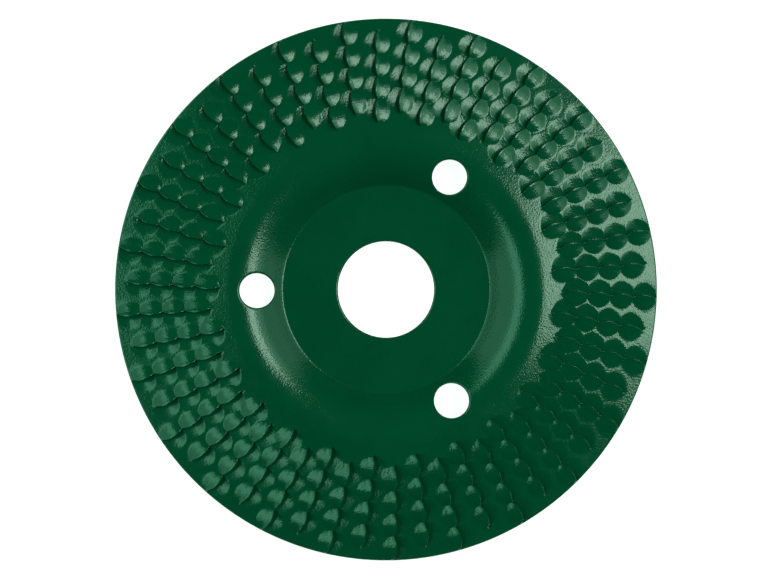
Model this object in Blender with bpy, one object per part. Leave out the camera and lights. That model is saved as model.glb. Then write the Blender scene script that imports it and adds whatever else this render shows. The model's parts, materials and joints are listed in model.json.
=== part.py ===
"""Carving disc for an angle grinder: a pressed steel disc with rows of rasp teeth, and its powder coat.

The origin is on the bore's axis, at the back face of the hub, where the grinder's flange bears.
+Z is the disc's axis and points out of the toothed working face.
"""

import math

import bmesh
import bpy

MM = 0.001

# Disc
RIM_RADIUS = 62.5 * MM
BORE_RADIUS = 11.1 * MM
SHEET = 2.5 * MM

# Cross-section, from the flat hub up the wall and over the shoulder to the sloping rim
CREASE_RADIUS = 24.0 * MM
SHOULDER_RADIUS = 34.6 * MM
WALL_SLOPE = math.radians(43.0)
RIM_SLOPE = math.radians(10.0)
BEND = math.radians(5.0) / MM
WALL_END = SHOULDER_RADIUS - WALL_SLOPE / BEND
RIM_START = SHOULDER_RADIUS + RIM_SLOPE / BEND

# Round holes through the wall
HOLE_COUNT = 3
HOLE_RADIUS = 4.0 * MM
HOLE_CIRCLE_RADIUS = 29.7 * MM
FIRST_HOLE = math.radians(60.5)
HOLE_SEGMENTS = 40
CUTTER_LENGTH = 40.0 * MM

# Powder coat: its thickness, the clearance between it and the steel, and where it stops on the back
COAT = 0.15 * MM
COAT_GAP = 0.10 * MM
COAT_BACK_RADIUS = 25.4 * MM
CORE_OVERCUT = 1.0 * MM

# Rows of teeth. A row runs along a straight line that passes the disc's axis at a small distance.
# Its stations lie half a tooth apart. Odd rows start one station further in than even ones.
ROWS = 50
ROW_TEETH = 4
FIRST_ROW = math.radians(10.7)
HALF_PITCH = 2.61 * MM
FIRST_STATION = 38.6 * MM
STATIONS = 10
COLUMNS = 3
EDGE_MARGIN = 0.4 * MM
CREST_OFFSET = 1.95 * MM
CREST_BULGE = 0.6 * MM
FACE_RUN = 0.55 * MM
BUMP_END = -0.9 * MM
HOLLOW_END = 5.45 * MM
TOOTH_RISE = 0.85 * MM
TOOTH_DEPTH = 0.55 * MM
NOTCH_RISE = 0.15 * MM
NOTCH_DEPTH = 0.10 * MM

BEND_STEPS = 4
SHARP_ANGLE = math.radians(25.0)

STEEL_COLOR = (0.42, 0.42, 0.43, 1.0)
COAT_COLOR = (0.0, 0.058, 0.024, 1.0)


def clear_scene():
    for obj in list(bpy.data.objects):
        bpy.data.objects.remove(obj)


def material(name, color, roughness, metallic):
    made = bpy.data.materials.new(name)
    made.use_nodes = True
    shader = made.node_tree.nodes["Principled BSDF"]
    shader.inputs["Base Color"].default_value = color
    shader.inputs["Roughness"].default_value = roughness
    shader.inputs["Metallic"].default_value = metallic
    return made


def slope_at(radius):
    """Angle of the front surface in the disc's cross-section, positive where it rises outwards."""
    if radius < CREASE_RADIUS:
        return 0.0
    return max(-RIM_SLOPE, min(WALL_SLOPE, (SHOULDER_RADIUS - radius) * BEND))


def drop_from_shoulder(radius):
    """How far the front surface lies below the shoulder. Its slope angle changes evenly with the radius."""
    in_bend = max(WALL_END, min(RIM_START, radius))
    drop = -math.log(math.cos((in_bend - SHOULDER_RADIUS) * BEND)) / BEND
    if radius < WALL_END:
        drop += (WALL_END - max(radius, CREASE_RADIUS)) * math.tan(WALL_SLOPE)
    if radius > RIM_START:
        drop += (radius - RIM_START) * math.tan(RIM_SLOPE)
    return drop


def front_height(radius):
    return SHEET + drop_from_shoulder(0.0) - drop_from_shoulder(radius)


def below_front(radius, depth):
    """Radius and height of the point this deep in the sheet, square to its front surface."""
    if radius == CREASE_RADIUS:
        return radius + depth * math.tan(WALL_SLOPE / 2), front_height(radius) - depth
    slope = slope_at(radius)
    return radius + depth * math.sin(slope), front_height(radius) - depth * math.cos(slope)


def ring(radius, height, count):
    """Points on a circle, the first one level with the first row of teeth."""
    turns = (FIRST_ROW + 2 * math.pi * step / count for step in range(count))
    return [(radius * math.cos(turn), radius * math.sin(turn), height) for turn in turns]


def tooth_at(row, station):
    """True at the middle of a tooth, and False between two teeth or beyond the last one."""
    first = 1 if row % 2 else 2
    return station in range(first, first + 2 * ROW_TEETH, 2)


def between_teeth(row, station):
    return tooth_at(row, station - 1) and tooth_at(row, station + 1)


def rim_point(row, station, across, relief, depth):
    """A point of the toothed rim, given along and across its row, at this depth in the sheet."""
    along = FIRST_STATION + HALF_PITCH * station
    turn = FIRST_ROW + 2 * math.pi * row / ROWS + math.atan2(across, along)
    radius, height = below_front(min(math.hypot(along, across), RIM_RADIUS - EDGE_MARGIN), depth)
    return radius * math.cos(turn), radius * math.sin(turn), height + relief


def toothed_ring(station, depth):
    """Three points for each row: the cutting edge, the foot of its face, and the side of the mark."""
    points = []
    for row in range(ROWS):
        bulge, rise, fall = 0.0, 0.0, 0.0
        if tooth_at(row, station):
            bulge, rise, fall = CREST_BULGE, TOOTH_RISE, TOOTH_DEPTH
        elif between_teeth(row, station):
            rise, fall = NOTCH_RISE, NOTCH_DEPTH
        crest = CREST_OFFSET + bulge
        points.append(rim_point(row, station, crest, rise, depth))
        points.append(rim_point(row, station, crest + FACE_RUN, -fall, depth))
        if tooth_at(row + 1, station):
            points.append(rim_point(row + 1, station, BUMP_END, 0.0, depth))
        else:
            points.append(rim_point(row, station, HOLLOW_END, 0.0, depth))
    return points


def toothed_split(index, station):
    """Whether a quad between this station and the next is split from its first corner to its third.

    The split ends on the side of the mark in the middle of its tooth, so each mark gets a lens outline.
    """
    row, column = divmod(index, COLUMNS)
    if column == 0:
        return True
    if column == 1:
        return not tooth_at(row, station)
    return tooth_at(row + 1, station)


def join_rings(mesh, first, second, station=None):
    """Fills the band between two rings with triangles. One ring may have a multiple of the other's points."""
    if len(first) != len(second):
        join_uneven_rings(mesh, first, second)
        return
    for index in range(len(first)):
        after = (index + 1) % len(first)
        quad = [first[index], second[index], second[after], first[after]]
        if station is not None and not toothed_split(index, station):
            quad = quad[1:] + quad[:1]
        mesh.faces.new(quad[:3])
        mesh.faces.new((quad[0], quad[2], quad[3]))


def join_uneven_rings(mesh, first, second):
    coarse, fine = sorted((first, second), key=len)
    step = len(fine) // len(coarse)
    triangles = []
    for index, corner in enumerate(coarse):
        edge = [fine[(index * step + offset) % len(fine)] for offset in range(step + 1)]
        triangles += [(corner, near, far) for near, far in zip(edge, edge[1:])]
        triangles.append((corner, edge[-1], coarse[(index + 1) % len(coarse)]))
    for triangle in triangles:
        mesh.faces.new(triangle if coarse is first else triangle[::-1])


def disc_body(name, inset, bore_radius, seat):
    """The disc's envelope, shrunk all round by inset. The seat lists the radius and height of its back rings."""
    bends = [WALL_END + (SHOULDER_RADIUS - WALL_END) * step / BEND_STEPS for step in range(1, BEND_STEPS + 1)]
    wall_radii = [WALL_END, *bends, RIM_START]
    edge_radius = RIM_RADIUS - inset
    edge_top = front_height(edge_radius) - inset / math.cos(RIM_SLOPE)
    edge_bottom = front_height(edge_radius) - (SHEET - inset) / math.cos(RIM_SLOPE)

    mesh = bmesh.new()
    hub = [ring(bore_radius, front_height(bore_radius) - inset, ROWS)]
    hub += [ring(*below_front(radius, inset), ROWS) for radius in [CREASE_RADIUS, *wall_radii]]
    rim = [toothed_ring(station, inset) for station in range(STATIONS)]
    edge = [ring(edge_radius, edge_top, COLUMNS * ROWS)]
    back = [ring(edge_radius, edge_bottom, ROWS)]
    back += [ring(*below_front(radius, SHEET - inset), ROWS) for radius in reversed(wall_radii)]
    back += [ring(radius, height, ROWS) for radius, height in seat]
    back += [ring(bore_radius, seat[-1][1], ROWS)]

    loops = [[mesh.verts.new(point) for point in points] for points in hub + rim + edge + back]
    for index, loop in enumerate(loops):
        station = index - len(hub)
        toothed = 0 <= station < STATIONS - 1
        join_rings(mesh, loop, loops[(index + 1) % len(loops)], station if toothed else None)
    return finish_mesh(name, mesh)


def finish_mesh(name, mesh):
    data = bpy.data.meshes.new(name)
    mesh.to_mesh(data)
    mesh.free()
    data.shade_smooth()
    data.set_sharp_from_angle(angle=SHARP_ANGLE)
    obj = bpy.data.objects.new(name, data)
    bpy.context.scene.collection.objects.link(obj)
    return obj


def hide_helper(obj):
    obj.hide_render = True
    obj.display_type = "WIRE"


def hole_cutter(name, radius):
    """One upright cylinder for each hole."""
    mesh = bmesh.new()
    for index in range(HOLE_COUNT):
        turn = FIRST_HOLE + 2 * math.pi * index / HOLE_COUNT
        made = bmesh.ops.create_cone(
            mesh,
            cap_ends=True,
            segments=HOLE_SEGMENTS,
            radius1=radius,
            radius2=radius,
            depth=CUTTER_LENGTH,
        )
        place = (HOLE_CIRCLE_RADIUS * math.cos(turn), HOLE_CIRCLE_RADIUS * math.sin(turn), 0.0)
        bmesh.ops.translate(mesh, vec=place, verts=made["verts"])
    cutter = finish_mesh(name, mesh)
    hide_helper(cutter)
    return cutter


def cut(obj, cutter):
    boolean = obj.modifiers.new("Cut " + cutter.name, "BOOLEAN")
    boolean.operation = "DIFFERENCE"
    boolean.solver = "EXACT"
    boolean.object = cutter


def seat_crease(inset):
    """Where the back of the wall, shrunk by inset, comes down to the seat plane."""
    envelope = CREASE_RADIUS + SHEET * math.tan(WALL_SLOPE / 2)
    return envelope - inset / math.sin(WALL_SLOPE)


def add_steel_disc():
    inset = COAT + COAT_GAP
    disc = disc_body("steel_disc", inset, BORE_RADIUS, [(seat_crease(inset), 0.0)])
    disc.data.materials.append(material("bare_steel", STEEL_COLOR, 0.35, 1.0))
    cut(disc, hole_cutter("steel_hole_cutter", HOLE_RADIUS + inset))


def add_powder_coat():
    """The coat wraps the front, the outer edge and the back. The bore and the seat stay bare."""
    coat = disc_body("powder_coat", 0.0, BORE_RADIUS, [(seat_crease(0.0), 0.0)])
    coat.data.materials.append(material("green_powder_coat", COAT_COLOR, 0.3, 0.0))
    below_seat = -CORE_OVERCUT
    wall_foot = (COAT_BACK_RADIUS - seat_crease(COAT)) * math.tan(WALL_SLOPE)
    core_seat = [(COAT_BACK_RADIUS, wall_foot), (COAT_BACK_RADIUS, below_seat)]
    core = disc_body("coat_core_cutter", COAT, BORE_RADIUS - CORE_OVERCUT, core_seat)
    hide_helper(core)
    cut(core, hole_cutter("core_hole_cutter", HOLE_RADIUS + COAT))
    cut(coat, hole_cutter("coat_hole_cutter", HOLE_RADIUS))
    cut(coat, core)


clear_scene()
add_steel_disc()
add_powder_coat()
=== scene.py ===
"""Looks of the carving disc: the powder-coated working face with its pressed teeth, and the bare steel.

Lengths are in metres, and angles in radians. The height of each side depends on the radius alone, apart
from the relief of the teeth. The meshes are rings of points round the disc's axis, joined by faces. A row
of teeth is measured along a straight line out from the axis, and counter-clockwise across that line.
"""

import json
import math

import bpy
import numpy as np
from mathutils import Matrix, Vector


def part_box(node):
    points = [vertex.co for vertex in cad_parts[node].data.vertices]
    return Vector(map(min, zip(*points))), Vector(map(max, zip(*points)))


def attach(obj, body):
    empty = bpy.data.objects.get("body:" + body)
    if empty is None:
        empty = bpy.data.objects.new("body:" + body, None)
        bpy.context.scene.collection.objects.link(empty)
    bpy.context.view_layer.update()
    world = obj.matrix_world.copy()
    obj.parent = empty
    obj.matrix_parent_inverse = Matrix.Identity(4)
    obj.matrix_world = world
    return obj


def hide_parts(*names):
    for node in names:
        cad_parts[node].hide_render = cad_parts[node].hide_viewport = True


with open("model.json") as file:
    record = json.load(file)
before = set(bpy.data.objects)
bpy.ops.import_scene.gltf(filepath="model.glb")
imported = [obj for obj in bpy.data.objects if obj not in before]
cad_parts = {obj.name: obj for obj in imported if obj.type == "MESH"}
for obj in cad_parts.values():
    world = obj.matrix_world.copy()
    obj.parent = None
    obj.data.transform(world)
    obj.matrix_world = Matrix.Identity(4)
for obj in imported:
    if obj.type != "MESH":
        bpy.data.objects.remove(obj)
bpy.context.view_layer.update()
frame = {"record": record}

MM = 0.001
DEGREE = math.pi / 180

# Disc, as the CAD has it
RIM_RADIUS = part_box("powder_coat")[1].x
SHEET = next(m["pos_m"][2] for m in frame["record"]["mounts"] if m["name"] == "front_nut_seat")
BORE_RADIUS = 11.1 * MM
CREASE_RADIUS = 24.0 * MM
SHOULDER_RADIUS = 34.6 * MM
WALL_SLOPE = 43.0 * DEGREE
RIM_SLOPE = 10.0 * DEGREE
BEND = 5.0 * DEGREE / MM
HOLE_RADIUS = 4.0 * MM
HOLE_CIRCLE_RADIUS = 29.7 * MM
FIRST_HOLE = 60.5 * DEGREE
HOLE_COUNT = 3
COAT_BACK_RADIUS = 25.4 * MM

# Depth of the steel below the surface of the coat, and radius of the bare seat on the back
FILM = 0.2 * MM
SEAT_RADIUS = 24.6 * MM

# Room between the steel and the edge of the film in the bore
FILM_ROOM = 0.02 * MM

# Rounded edges, and the bevel at the back of the bore
CREASE_HALF_WIDTH = 0.35 * MM
BORE_EDGE = 0.45 * MM
HOLE_EDGE = 0.45 * MM
HOLE_BACK_EDGE = 0.15 * MM
RIM_EDGE = 0.30 * MM
STEEL_BORE_EDGE = 0.15 * MM

# Rows of teeth. A tooth is a pressed mark: a bump up to its crest, a cutting face, and a hollow beyond it.
# Stations lie half a tooth apart along a row, and odd rows start one station further in than even ones.
ROWS = 50
ROW_TEETH = 4
ROW_ANGLE = 2 * math.pi / ROWS
FIRST_ROW = 10.7 * DEGREE
HALF_PITCH = 2.61 * MM
FIRST_STATION = 38.6 * MM
STATIONS = 10

# Across a row: the crest, which bulges at the middle of a tooth, a narrow land before it, the cutting face
# and its foot
CREST_OFFSET = 1.95 * MM
CREST_BULGE = 0.6 * MM
FACE_RUN = 0.12 * MM
FOOT_WIDTH = 0.22 * MM
LAND_WIDTH = 0.10 * MM
LAND_SLOPE = 0.03
FOOT_EDGE = 0.04 * MM

# Outline of a mark: half its length and width, and the longer tails at the inner ends of even and odd rows
MARK_CENTRE = 2.3 * MM
MARK_LENGTH = 2.95 * MM
MARK_WIDTH = 3.15 * MM
TAIL_LENGTHS = (3.37 * MM, 2.98 * MM)
TAIL_SHIFT = 0.35 * MM
MARK_ROUNDNESS = 2
TAIL_ROUNDNESS = 2.8

# Least width of a bump or a hollow, where its mark runs out
LEAST_WIDTH = 0.1 * MM

# Slopes of the bumps and hollows, and how far they sag, lean, skew or wave
DOME_SLOPE = 0.335
DOME_WAVE = 0.25
DOME_END_SAG = 0.85
HOLLOW_SLOPE = 0.24
HOLLOW_LEAN = 0.25
HOLLOW_SKEW = 0.15
HOLLOW_SAG = 0.45
SAG_LENGTH = 1.3 * MM

# The marks on the back are shallower than those on the front, and their cutting faces are less steep
BACK_SHARE = 0.5
BACK_FACE_RUN = 0.8 * MM

# Camera, whose view is this wide at about the height of the outer edge
CAMERA_DISTANCE = 1.0
VIEW_WIDTH = 177.9 * MM
RIM_HEIGHT = 3.2 * MM

# Colours of the light
WHITE = (1.0, 1.0, 1.0)
PALE_GREEN = (0.7, 1.0, 0.88)
GREEN = (0.52, 1.0, 0.84)

# Lights, floor, and heights of the coat's orange peel and of the steel's turned marks
LIGHT_DISTANCE = 1.0
FLOOR_SIZE = 60.0
PEEL_HEIGHT = 0.035 * MM
TURNING_HEIGHT = 0.012 * MM

# Rings of points, whose columns are the same turns on every ring without teeth
SMOOTH_COLUMNS = 300
COLUMN_ANGLE = 2 * math.pi / SMOOTH_COLUMNS
FIRST_TURN = FIRST_ROW - COLUMN_ANGLE
PROFILE_STEP = 0.02 * MM
SHARP_ANGLE = 25.0 * DEGREE
HUB_RADII = np.linspace(12.5, 23.2, 5) * MM
STEEL_HUB_RADII = np.array((14, 18, 22, 23.6)) * MM
WALL_START = 24.6 * MM
STEEL_WALL_START = 24.8 * MM
WALL_END = 36.9 * MM
RIM_START = 37.3 * MM

# Rings of the wall, and those rings and columns whose place a patch round each hole takes
WALL_RINGS = 25
PATCH_RINGS = 21
PATCH_COLUMNS = 19

# Distances along a row of the circles that catch the round tips of its tails
TIP_RINGS = (38.33 * MM, 40.55 * MM)

# Room kept between points on a circle: at the outline, on both sides of the crest, and between two rows
OUTLINE_EDGE = 0.13 * MM
START_ROOM = 0.6 * MM
END_ROOM = 0.96 * MM
ROW_ROOM = 0.36 * MM


def crease_slope(radius, crease):
    """The wall's slope, reached evenly over the rounded crease."""
    done = (radius - crease + CREASE_HALF_WIDTH) / (2 * CREASE_HALF_WIDTH)
    return WALL_SLOPE * np.clip(done, 0, 1)


def front_slopes(radius):
    """Slope of the front surface: up the wall, over the shoulder and down the rim."""
    over_shoulder = np.maximum((SHOULDER_RADIUS - radius) * BEND, -RIM_SLOPE)
    return np.minimum(crease_slope(radius, CREASE_RADIUS), over_shoulder)


def heights_from(slopes, start):
    """Heights along evenly spaced radii, from the slope at each."""
    rises = np.tan((slopes[1:] + slopes[:-1]) / 2) * PROFILE_STEP
    return start + np.concatenate(([0.0], np.cumsum(rises)))


def curve(radii, heights):
    """Height as a function of radius."""
    return lambda radius: np.interp(radius, radii, heights)


def front_curve(depth):
    """Height of the front surface, or of the surface this deep below it, at any radius."""
    radii = np.arange(0, RIM_RADIUS + PROFILE_STEP, PROFILE_STEP)
    slopes = front_slopes(radii)
    heights = heights_from(slopes, SHEET)
    return curve(radii + depth * np.sin(slopes), heights - depth * np.cos(slopes))


def back_curve(depth):
    """Height of the back surface, or of the surface this deep in the sheet from the back."""
    radii = np.arange(0, RIM_RADIUS + PROFILE_STEP, PROFILE_STEP)
    slopes = front_slopes(radii)
    behind = np.interp(radii, radii + SHEET * np.sin(slopes), slopes)
    crease = CREASE_RADIUS + SHEET * math.tan(WALL_SLOPE / 2)
    wall_foot = CREASE_RADIUS + CREASE_HALF_WIDTH + SHEET * math.sin(WALL_SLOPE)
    behind = np.where(radii < wall_foot, crease_slope(radii, crease), behind)
    heights = heights_from(behind, 0.0)
    return curve(radii - depth * np.sin(behind), heights + depth * np.cos(behind))


def mark_lines(along, odd):
    """Across a row, at these distances along it: the start of its marks, their crest and their end.

    The last value is the distance along the row from the middle of the nearest tooth."""
    first = FIRST_STATION + HALF_PITCH * (2 - odd)
    tooth = np.clip(np.round((along - first) / (2 * HALF_PITCH)), 0, ROW_TEETH - 1)
    offset = along - first - 2 * HALF_PITCH * tooth
    inner_end = (tooth == 0) & (offset < 0)
    row_end = inner_end | (tooth == ROW_TEETH - 1) & (offset > 0)
    length = np.where(inner_end, np.where(odd == 1, TAIL_LENGTHS[1], TAIL_LENGTHS[0]), MARK_LENGTH)
    gone = np.minimum(1, np.abs(offset / length) ** np.where(inner_end, TAIL_ROUNDNESS, MARK_ROUNDNESS))
    reach = MARK_WIDTH * np.sqrt(1 - gone)
    middle = MARK_CENTRE - np.where(row_end, TAIL_SHIFT * gone, 0)
    crest = CREST_OFFSET + CREST_BULGE * np.maximum(0, 1 - (offset / HALF_PITCH) ** 2)
    half = np.clip(offset / HALF_PITCH, -1, 1)
    end = middle + reach * (1 - HOLLOW_SKEW * half * (1 - half ** 2))
    return middle - reach, crest, end, offset


def sagging(share, sag):
    """A ramp from 0 to 1 that starts gently and ends steeply."""
    return share * (1 - sag * (1 - share))


def mark_relief(along, across, odd, run, inset, share):
    """Height of one row's marks: a ramp up to each crest, its cutting face, and a hollow beyond."""
    start, crest, end, offset = mark_lines(along, odd)
    top = np.maximum(crest - LAND_WIDTH, start)
    climbed = np.clip((across - start) / np.maximum(top - start, LEAST_WIDTH), 0, 1)
    end_share = np.minimum(1, (offset / HALF_PITCH) ** 2)
    wave = DOME_WAVE * np.sin(2 * math.pi * climbed) / (2 * math.pi)
    dome = DOME_SLOPE * (top - start) * (sagging(climbed, DOME_END_SAG * end_share) + wave)
    dome -= LAND_SLOPE * np.clip(across - top, 0, LAND_WIDTH)
    foot = crest + FOOT_WIDTH
    sunk = np.clip((end - np.maximum(across, foot)) / np.maximum(end - foot, LEAST_WIDTH), 0, 1)
    lean = 1 - HOLLOW_LEAN * np.clip(offset / HALF_PITCH, -1, 1)
    sag = HOLLOW_SAG * np.clip(-offset / SAG_LENGTH, 0, 1)
    hollow = HOLLOW_SLOPE * np.maximum(end - foot, 0) * lean * sagging(sunk, sag)
    down = np.clip((across - crest + inset) / run, 0, 1)
    return share * (dome * (1 - down) - hollow * down)


def relief(radius, turn, run=FACE_RUN, inset=0, share=1.0):
    """Height of the teeth above the plain rim: the row at or before this turn, and the rows beside it."""
    nearest = np.floor((turn - FIRST_ROW) / ROW_ANGLE)
    total = np.zeros_like(turn)
    for row in (nearest - 1, nearest, nearest + 1):
        angle = turn - FIRST_ROW - row * ROW_ANGLE
        total += mark_relief(radius * np.cos(angle), radius * np.sin(angle), row % 2, run, inset, share)
    return total


def row_lines(odd, radius):
    """Across a row, on a circle: the start of its marks, their crest and their end, kept apart.

    Each is found in a few steps, because its distance along the row depends on how far across it lies."""
    across = np.array((0, CREST_OFFSET, MARK_CENTRE))
    for _ in range(4):
        across = np.diag(mark_lines(np.sqrt(radius ** 2 - across ** 2), odd)[:3])
    start, crest, end = across
    return min(start, crest - START_ROOM), crest, max(end, crest + END_ROOM)


def row_gap(odd, radius):
    """Turns, from a row's direction, at which its marks end and the next row's begin, kept apart."""
    end = math.asin(row_lines(odd, radius)[2] / radius)
    start = ROW_ANGLE + math.asin(row_lines(1 - odd, radius)[0] / radius)
    middle = (start + end) / 2
    half = max(abs(start - end), ROW_ROOM / radius) / 2
    return middle - half, middle + half


def row_columns(odd, radius, fine, run, inset):
    """Turns of one row's points on a circle, from the row's direction."""
    begin = row_gap(1 - odd, radius)[1] - ROW_ANGLE
    end, following = row_gap(odd, radius)
    face = row_lines(odd, radius)[1] - inset + np.array((-LAND_WIDTH, 0, run, run + FOOT_EDGE))
    lip, crest, foot, corner = np.arcsin(face / radius)
    if not fine:
        return np.array((begin, (begin + crest) / 2, crest, foot, (foot + end) / 2, end))
    edge = OUTLINE_EDGE / radius
    columns = [begin - edge]
    columns += list(np.interp([0, 0.22, 0.45, 0.68, 0.88], [0, 1], [begin + edge, lip]))
    columns += [lip, crest, foot, corner]
    columns += list(np.interp([0.12, 0.32, 0.55, 0.8, 1], [0, 1], [corner, end - edge]))
    columns += list(np.interp([0, 0.33, 0.67], [0, 1], [end + edge, following - edge]))
    return np.array(columns)


def toothed_ring(radius, height, fine=True, run=FACE_RUN, inset=0, share=1.0):
    """Points on a circle of the rim. Their turns follow the marks' own lines."""
    pair = [row_columns(odd, radius, fine, run, inset) for odd in (0, 1)]
    turn = np.concatenate([FIRST_ROW + row * ROW_ANGLE + pair[row % 2] for row in range(ROWS)])
    return lifted(np.full_like(turn, radius), turn, height(radius) + relief(radius, turn, run, inset, share))


def lifted(radius, turn, height):
    """Points at these radii, turns and heights."""
    return np.column_stack((radius * np.cos(turn), radius * np.sin(turn), height))


def quarter(steps):
    """Evenly spaced angles of a quarter turn, from 0 on."""
    return np.linspace(0, math.pi / 2, steps)


def smooth_ring(radius, height):
    """Points on a circle without teeth."""
    turn = FIRST_TURN + np.arange(SMOOTH_COLUMNS) * COLUMN_ANGLE
    return lifted(np.full_like(turn, radius), turn, np.full_like(turn, height))


class Shell:
    """Points and faces of one piece. Each ring runs counter-clockwise seen from the front."""

    def __init__(self):
        self.points = []
        self.faces = []

    def ring(self, points):
        """Adds points, and returns their numbers."""
        first = len(self.points)
        self.points.extend(points)
        return list(range(first, len(self.points)))

    def join(self, first, second, left_out=()):
        """Fills the band between two rings. One may have a multiple of the other's points."""
        if len(first) == len(second):
            for index in range(len(first)):
                after = (index + 1) % len(first)
                if index not in left_out:
                    self.faces.append((first[index], second[index], second[after], first[after]))
            return
        coarse, fine = sorted((first, second), key=len)
        step = len(fine) // len(coarse)
        middle = step // 2
        for index, corner in enumerate(coarse):
            following = coarse[(index + 1) % len(coarse)]
            edge = [fine[(index * step + offset) % len(fine)] for offset in range(step + 1)]
            fan = [(corner, *pair) for pair in zip(edge[:middle + 1], edge[1:middle + 1])]
            fan += [(following, *pair) for pair in zip(edge[middle:], edge[middle + 1:])]
            fan.append((corner, edge[middle], following))
            self.faces += fan if coarse is first else [triangle[::-1] for triangle in fan]

    def join_all(self, rings):
        """Fills the bands between rings that follow one another."""
        for first, second in zip(rings, rings[1:]):
            self.join(first, second)

    def piece(self, name, material):
        """An object of these points and faces, sharp at its steep bends and smooth elsewhere."""
        mesh = bpy.data.meshes.new(name)
        mesh.from_pydata([tuple(point) for point in self.points], [], self.faces)
        mesh.shade_smooth()
        mesh.set_sharp_from_angle(angle=SHARP_ANGLE)
        mesh.materials.append(material)
        obj = bpy.data.objects.new(name, mesh)
        bpy.context.scene.collection.objects.link(obj)
        return obj


def hole_columns(index):
    """First and last column of a hole's patch."""
    turn = FIRST_HOLE - FIRST_TURN + 2 * math.pi * index / HOLE_COUNT
    first = round(turn / COLUMN_ANGLE - PATCH_COLUMNS / 2)
    return first, first + PATCH_COLUMNS


def patch_rim(rings, first, last):
    """The points round a hole's patch. The rings run from the innermost to the outermost."""
    inner, outer = rings[0], rings[-1]
    around = [inner[column % len(inner)] for column in range(first, last)]
    around += [ring[last % len(ring)] for ring in rings[:-1]]
    around += [outer[column % len(outer)] for column in range(last, first, -1)]
    around += [ring[first % len(ring)] for ring in reversed(rings[1:])]
    return around


def add_walls(shell, front_rings, back_rings, front, back, hole_radius):
    """Fills the front and back of the wall, each with a patch round each hole, and lines the holes."""
    patches = [hole_columns(index) for index in range(HOLE_COUNT)]
    left_out = {column % SMOOTH_COLUMNS for first, last in patches for column in range(first, last)}
    for rings, reverse in ((front_rings, False), (back_rings, True)):
        for index in range(len(rings) - 1):
            pair = rings[index:index + 2]
            shell.join(*(pair[::-1] if reverse else pair), left_out if index < PATCH_RINGS else ())
    for index, (first, last) in enumerate(patches):
        turn = FIRST_HOLE + 2 * math.pi * index / HOLE_COUNT
        centre = HOLE_CIRCLE_RADIUS * np.array((math.cos(turn), math.sin(turn)))
        front_rim = patch_rim(front_rings[:PATCH_RINGS + 1], first, last)
        back_rim = patch_rim(back_rings[:PATCH_RINGS + 1], first, last)
        outside = np.array([shell.points[point][:2] for point in front_rim])
        behind = np.array([shell.points[point][:2] for point in back_rim])
        away = (outside - centre) / np.linalg.norm(outside - centre, axis=1)[:, None]
        loops = [front_rim]
        edge = centre + away * (hole_radius + HOLE_EDGE)
        for share in (0.3, 0.6, 0.85):
            flat = outside + (edge - outside) * share
            loops.append(shell.ring(np.column_stack((flat, front(np.linalg.norm(flat, axis=1))))))
        for step in quarter(6):
            flat = centre + away * (hole_radius + HOLE_EDGE * (1 - math.sin(step)))
            height = front(np.linalg.norm(flat, axis=1)) - HOLE_EDGE * (1 - math.cos(step))
            loops.append(shell.ring(np.column_stack((flat, height))))
        for step in reversed(quarter(4)):
            flat = centre + away * (hole_radius + HOLE_BACK_EDGE * (1 - math.sin(step)))
            height = back(np.linalg.norm(flat, axis=1)) + HOLE_BACK_EDGE * (1 - math.cos(step))
            loops.append(shell.ring(np.column_stack((flat, height))))
        flat = (centre + away * (hole_radius + HOLE_BACK_EDGE) + behind) / 2
        loops.append(shell.ring(np.column_stack((flat, back(np.linalg.norm(flat, axis=1))))))
        loops.append(back_rim)
        shell.join_all(loops)


def rim_radii(offsets):
    """Radii of the rim's circles, from its start: at these shares of each half pitch along the crests."""
    stations = range(-1, STATIONS - 1)
    along = [FIRST_STATION + HALF_PITCH * (station + offset) for station in stations for offset in offsets]
    along = sorted(along + list(TIP_RINGS)) + [FIRST_STATION + HALF_PITCH * (STATIONS - 1)]
    radii = [math.hypot(distance, CREST_OFFSET) for distance in along]
    return [radius for radius in radii if radius > RIM_START]


def rim_back(shell, back):
    """Circles on the back of the rim, from the outermost to the innermost."""
    return [
        shell.ring(toothed_ring(radius, back, fine=False, run=BACK_FACE_RUN, share=BACK_SHARE))
        for radius in reversed(rim_radii((0, 0.33, 0.67)))
    ]


def wall_side(shell, height, start):
    """Circles on one side of the wall, from this radius to the wall's end."""
    radii = np.linspace(start, WALL_END, WALL_RINGS)
    return [shell.ring(smooth_ring(radius, height(radius))) for radius in radii]


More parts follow.
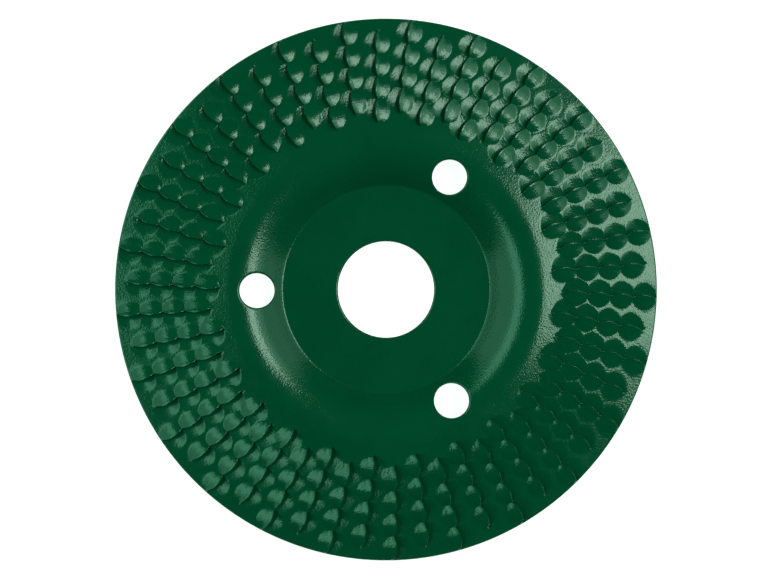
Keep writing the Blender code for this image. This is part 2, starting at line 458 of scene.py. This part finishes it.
def add_coat(material):
    """The film's outer skin: over the front, round the outer edge and the holes, to the bare seat's edge."""
    shell = Shell()
    front, back = front_curve(0), back_curve(0)
    places = [(BORE_RADIUS + FILM, SHEET - BORE_EDGE), (BORE_RADIUS, SHEET - BORE_EDGE)]
    for step in quarter(7)[1:]:
        radius = BORE_RADIUS + BORE_EDGE * (1 - math.cos(step))
        places.append((radius, SHEET - BORE_EDGE * (1 - math.sin(step))))
    places += [(radius, SHEET) for radius in HUB_RADII]
    crease = np.linspace(CREASE_RADIUS - CREASE_HALF_WIDTH, CREASE_RADIUS + CREASE_HALF_WIDTH, 7)
    places += [(radius, front(radius)) for radius in crease]
    hub = [shell.ring(smooth_ring(*place)) for place in places]
    wall = wall_side(shell, front, WALL_START)
    rim = [
        shell.ring(toothed_ring(radius, front))
        for radius in rim_radii((0, 0.03, 0.2, 0.4, 0.62, 0.82, 0.97))
    ]
    edge = []
    for step in quarter(5):
        radius = RIM_RADIUS - RIM_EDGE * (1 - math.sin(step))
        drop = RIM_EDGE * (1 - math.cos(step))
        edge.append(shell.ring(toothed_ring(radius, lambda r, drop=drop: front(r) - drop)))
    for step in reversed(quarter(5)):
        radius = RIM_RADIUS - RIM_EDGE * (1 - math.sin(step))
        rise = RIM_EDGE * (1 - math.cos(step))
        plain = toothed_ring(radius, lambda r, rise=rise: back(r) + rise, fine=False, share=0)
        edge.append(shell.ring(plain))
    behind = rim_back(shell, back)
    back_wall = wall_side(shell, back, COAT_BACK_RADIUS)
    lip_radius = COAT_BACK_RADIUS - FILM * math.sin(WALL_SLOPE)
    lip = shell.ring(smooth_ring(lip_radius, back(COAT_BACK_RADIUS) + FILM * math.cos(WALL_SLOPE)))
    shell.join_all(hub + wall[:1])
    shell.join_all(wall[-1:] + rim + edge + behind + back_wall[-1:])
    add_walls(shell, wall, back_wall, front, back, HOLE_RADIUS)
    shell.join(back_wall[0], lip)
    coat = shell.piece("coat", material)
    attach(coat, "root")
    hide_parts("powder_coat")


def add_steel(material):
    """The sheet under the film, of which the seat on the back and the wall of the bore are bare."""
    shell = Shell()
    front, back = front_curve(FILM), back_curve(FILM)
    places = [
        (BORE_RADIUS + STEEL_BORE_EDGE, 0.0),
        (BORE_RADIUS, STEEL_BORE_EDGE),
        (BORE_RADIUS, SHEET - BORE_EDGE - FILM_ROOM),
        (BORE_RADIUS + FILM + 2 * FILM_ROOM, SHEET - BORE_EDGE),
        (BORE_RADIUS + BORE_EDGE, SHEET - FILM - 2 * FILM_ROOM),
    ]
    places += [(radius, SHEET - FILM) for radius in STEEL_HUB_RADII]
    hub = [shell.ring(smooth_ring(*place)) for place in places]
    wall = wall_side(shell, front, STEEL_WALL_START)
    rim = [
        shell.ring(toothed_ring(radius, front, fine=False, inset=FILM))
        for radius in rim_radii((0, 0.25, 0.5, 0.75))
    ]
    edge = [
        shell.ring(smooth_ring(RIM_RADIUS - FILM, front(RIM_RADIUS) - FILM)),
        shell.ring(smooth_ring(RIM_RADIUS - FILM, back(RIM_RADIUS) + FILM)),
    ]
    behind = rim_back(shell, back)
    back_wall = wall_side(shell, back, COAT_BACK_RADIUS - FILM / 2)
    seat = shell.ring(smooth_ring(SEAT_RADIUS, 0.0))
    shell.join_all(hub + wall[:1])
    shell.join_all(wall[-1:] + rim + edge + behind + back_wall[-1:])
    add_walls(shell, wall, back_wall, front, back, HOLE_RADIUS + FILM)
    shell.join_all([back_wall[0], seat, hub[0]])
    steel = shell.piece("steel", material)
    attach(steel, "root")
    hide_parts("steel_disc")


def new_material(name):
    """A material with its nodes and links."""
    material = bpy.data.materials.new(name)
    material.use_nodes = True
    return material, material.node_tree.nodes, material.node_tree.links


def add_noise(nodes, links, scale, detail):
    """A noise texture in the object's own coordinates."""
    place = nodes.new("ShaderNodeTexCoord")
    noise = nodes.new("ShaderNodeTexNoise")
    noise.inputs["Scale"].default_value = scale
    noise.inputs["Detail"].default_value = detail
    links.new(place.outputs["Object"], noise.inputs["Vector"])
    return noise


def vary(nodes, links, source, target, low, high):
    """Takes a value from low to high while its source goes from 0.3 to 0.7."""
    spread = nodes.new("ShaderNodeMapRange")
    spread.inputs["From Min"].default_value = 0.3
    spread.inputs["From Max"].default_value = 0.7
    spread.inputs["To Min"].default_value = low
    spread.inputs["To Max"].default_value = high
    links.new(source, spread.inputs["Value"])
    links.new(spread.outputs["Result"], target)


def colour_by(nodes, links, noise, shader, dark, light):
    """Shades the colour between these two with a noise texture."""
    shades = nodes.new("ShaderNodeValToRGB")
    shades.color_ramp.elements[0].position = 0.3
    shades.color_ramp.elements[0].color = dark
    shades.color_ramp.elements[1].position = 0.7
    shades.color_ramp.elements[1].color = light
    links.new(noise.outputs["Fac"], shades.inputs["Fac"])
    links.new(shades.outputs["Color"], shader.inputs["Base Color"])


def add_bump(nodes, links, source, shader, height):
    """Raises the surface by up to this height where the source is 1."""
    bump = nodes.new("ShaderNodeBump")
    bump.inputs["Distance"].default_value = height
    links.new(source, bump.inputs["Height"])
    links.new(bump.outputs["Normal"], shader.inputs["Normal"])


def coat_material():
    """Satin powder coat: a fine orange peel, with uneven gloss and slight clouds of colour.

    Faces steeper than the wall, such as the cutting faces, are dull."""
    material, nodes, links = new_material("green_powder_coat")
    shader = nodes["Principled BSDF"]
    shader.inputs["Specular Tint"].default_value = (0.64, 1, 0.76, 1)
    clouds = add_noise(nodes, links, scale=90, detail=3)
    colour_by(nodes, links, clouds, shader, (0.0003, 0.124, 0.049, 1), (0.0003, 0.138, 0.055, 1))
    gloss = add_noise(nodes, links, scale=300, detail=2)
    roughness = nodes.new("ShaderNodeMath")
    vary(nodes, links, gloss.outputs["Fac"], roughness.inputs[0], low=0.13, high=0.19)
    surface = nodes.new("ShaderNodeNewGeometry")
    upright = nodes.new("ShaderNodeSeparateXYZ")
    links.new(surface.outputs["True Normal"], upright.inputs["Vector"])
    flatness = nodes.new("ShaderNodeMath")
    flatness.operation = "ABSOLUTE"
    links.new(upright.outputs["Z"], flatness.inputs[0])
    vary(nodes, links, flatness.outputs["Value"], roughness.inputs[1], low=0.5, high=0)
    vary(nodes, links, flatness.outputs["Value"], shader.inputs["Specular IOR Level"], low=0.04, high=0.78)
    links.new(roughness.outputs["Value"], shader.inputs["Roughness"])
    peel = add_noise(nodes, links, scale=2300, detail=1)
    add_bump(nodes, links, peel.outputs["Fac"], shader, PEEL_HEIGHT)
    return material


def steel_material():
    """Bare sheet with fine turned marks round the axis, and blotches of uneven shine."""
    material, nodes, links = new_material("bare_steel")
    shader = nodes["Principled BSDF"]
    shader.inputs["Metallic"].default_value = 1
    clouds = add_noise(nodes, links, scale=120, detail=4)
    colour_by(nodes, links, clouds, shader, (0.36, 0.36, 0.37, 1), (0.48, 0.475, 0.47, 1))
    vary(nodes, links, clouds.outputs["Fac"], shader.inputs["Roughness"], low=0.27, high=0.42)
    place = nodes.new("ShaderNodeTexCoord")
    turned = nodes.new("ShaderNodeTexWave")
    turned.wave_type = "RINGS"
    turned.rings_direction = "Z"
    turned.inputs["Scale"].default_value = 700
    turned.inputs["Distortion"].default_value = 3
    turned.inputs["Detail"].default_value = 2
    turned.inputs["Detail Scale"].default_value = 0.4
    links.new(place.outputs["Object"], turned.inputs["Vector"])
    add_bump(nodes, links, turned.outputs["Fac"], shader, TURNING_HEIGHT)
    return material


def add_floor():
    """A plain pale floor, out to the horizon of a low view."""
    bpy.ops.mesh.primitive_plane_add(size=FLOOR_SIZE)
    floor = bpy.context.object
    floor.name = "floor"
    material, nodes, _ = new_material("floor")
    shader = nodes["Principled BSDF"]
    shader.inputs["Base Color"].default_value = (0.85, 0.85, 0.85, 1)
    shader.inputs["Roughness"].default_value = 0.9
    shader.inputs["Emission Color"].default_value = (1, 1, 1, 1)
    shader.inputs["Emission Strength"].default_value = 0.9
    floor.data.materials.append(material)


def add_softbox(name, turn, low, high, width, strength, colour):
    """A softbox that faces the disc from this turn, between two angles from straight up."""
    middle = (low + high) / 2
    place = Vector((math.sin(middle) * math.cos(turn), math.sin(middle) * math.sin(turn), math.cos(middle)))
    data = bpy.data.lights.new(name, "AREA")
    data.shape = "RECTANGLE"
    data.size = width
    data.size_y = 2 * LIGHT_DISTANCE * math.tan((high - low) / 2)
    data.energy = strength * data.size * data.size_y * math.pi
    data.color = colour
    light = bpy.data.objects.new(name, data)
    light.location = place * LIGHT_DISTANCE
    light.rotation_euler = place.to_track_quat("Z", "Y").to_euler()
    light.visible_camera = False
    bpy.context.scene.collection.objects.link(light)


def add_lights():
    """Tall softboxes on the right and, dimmer, on the left, in parts of different brightness.

    After a part's name come its turn, its angles, its width, its strength and its colour."""
    add_softbox("right_upper_strip", 7 * DEGREE, 21 * DEGREE, 29.5 * DEGREE, 0.41, 5.0, WHITE)
    add_softbox("right_strip", 12 * DEGREE, 29.5 * DEGREE, 37 * DEGREE, 0.62, 5.2, WHITE)
    add_softbox("right_panel", 12 * DEGREE, 37 * DEGREE, 52 * DEGREE, 0.85, 1.4, PALE_GREEN)
    add_softbox("right_lower_panel", 12 * DEGREE, 52 * DEGREE, 88 * DEGREE, 1.1, 0.64, PALE_GREEN)
    add_softbox("left_panel", 172 * DEGREE, 28 * DEGREE, 46 * DEGREE, 0.85, 1.95, GREEN)
    add_softbox("left_lower_panel", 171 * DEGREE, 46 * DEGREE, 88 * DEGREE, 1.05, 0.8, GREEN)


def add_world():
    """A dark studio: all the light comes from the softboxes and the floor."""
    world = bpy.data.worlds.new("studio")
    bpy.context.scene.world = world
    world.use_nodes = True
    world.node_tree.nodes["Background"].inputs["Color"].default_value = (0, 0, 0, 1)


def add_camera():
    """Straight above the disc, with +Y upwards in the picture."""
    data = bpy.data.cameras.new("camera")
    data.lens = data.sensor_width * CAMERA_DISTANCE / VIEW_WIDTH
    camera = bpy.data.objects.new("camera", data)
    camera.location = (0, 0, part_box("powder_coat")[0].z + RIM_HEIGHT + CAMERA_DISTANCE)
    bpy.context.scene.collection.objects.link(camera)
    bpy.context.scene.camera = camera


add_coat(coat_material())
add_steel(steel_material())
add_floor()
add_lights()
add_world()
add_camera()
bpy.context.scene.view_settings.view_transform = "Standard"
